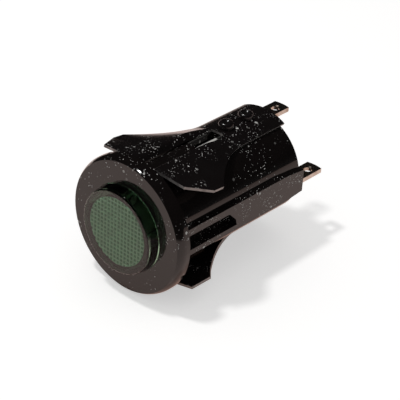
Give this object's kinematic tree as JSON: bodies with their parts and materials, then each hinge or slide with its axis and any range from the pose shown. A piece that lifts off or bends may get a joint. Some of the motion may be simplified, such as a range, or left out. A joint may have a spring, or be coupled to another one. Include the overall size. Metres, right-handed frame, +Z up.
{
  "type": "panel pilot light",
  "caption": "Round snap-in indicator light with a hatched green lens, a black bezel, spring clips that hold it behind the panel and flat solder terminals at the rear.",
  "frame": {"origin": "centre of the bezel's rear face, where the light's axis meets the panel's front face", "axes": "+Y runs along the light's axis into the panel, from the lens to the terminals; +Z is up, towards the upper clip and the top terminal; +X is right as seen from behind the panel's front, looking along +Y, towards the side terminal"},
  "size_m": [0.024, 0.0402, 0.024],
  "materials": {
    "black_plastic": "glossy moulded",
    "green_lens": "clear dark green, hatched behind the front face",
    "white_plastic": "matt moulded",
    "lamp_glass": "clear",
    "tinned_metal": "tinned",
    "black_steel": "black finished spring steel with bright cut edges",
    "rivet_black": "black, satin",
    "resistor_body": "lacquered",
    "sleeve_plastic": "matt"
  },
  "bodies": {
    "root": {"housing": "black_plastic", "lens": "green_lens", "lamp_carrier": "white_plastic", "lamp": "lamp_glass", "lamp_wire_live": "tinned_metal", "lamp_wire_neutral": "tinned_metal", "wire_sleeve": "sleeve_plastic", "resistor": "resistor_body", "resistor_wire_front": "tinned_metal", "resistor_wire_rear": "tinned_metal", "resistor_sleeve": "sleeve_plastic", "terminal_top": "tinned_metal", "terminal_side": "tinned_metal", "base_plug": "black_plastic", "clip_top": "black_steel", "clip_bottom": "black_steel", "rivet_top_front": "rivet_black", "rivet_top_rear": "rivet_black", "rivet_bottom_front": "rivet_black", "rivet_bottom_rear": "rivet_black"}
  },
  "joints": []
}
